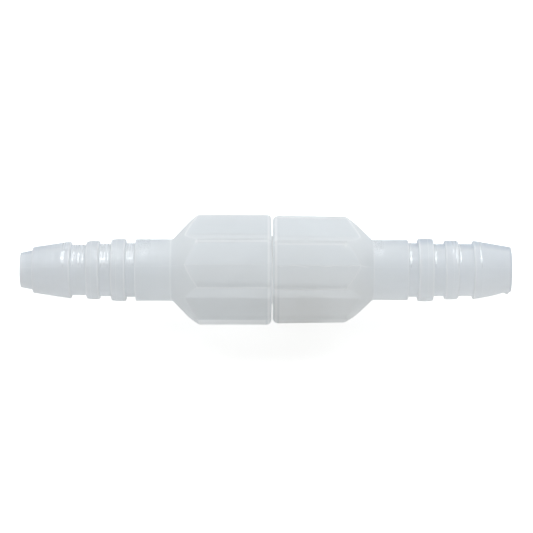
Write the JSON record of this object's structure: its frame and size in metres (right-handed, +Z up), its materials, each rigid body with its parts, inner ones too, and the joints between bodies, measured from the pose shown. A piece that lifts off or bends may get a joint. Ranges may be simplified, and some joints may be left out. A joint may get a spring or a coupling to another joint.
{
  "type": "oxygen swivel connector",
  "caption": "Swivel connector for oxygen tubing: barbed ends on fluted grip collars that turn freely on one another about a shared gas way.",
  "frame": {"origin": "middle of the connector's box, on the surface that it lies on", "axes": "+X along the gas way from the male half's tube end to the female half's, +Z up"},
  "size_m": [0.064, 0.0138, 0.0138],
  "materials": {
    "milky_plastic": "satin, milky translucent",
    "seal_silicone": "smooth, translucent"
  },
  "bodies": {
    "left_body": {"male_half": "milky_plastic", "seal_ring": "seal_silicone"},
    "right_body": {"female_half": "milky_plastic"}
  },
  "joints": [
    {"name": "swivel", "type": "hinge", "parent": "left_body", "child": "right_body", "pos_m": [0.00085, 0, 0.0069], "axis": [1, 0, 0], "continuous": true}
  ]
}
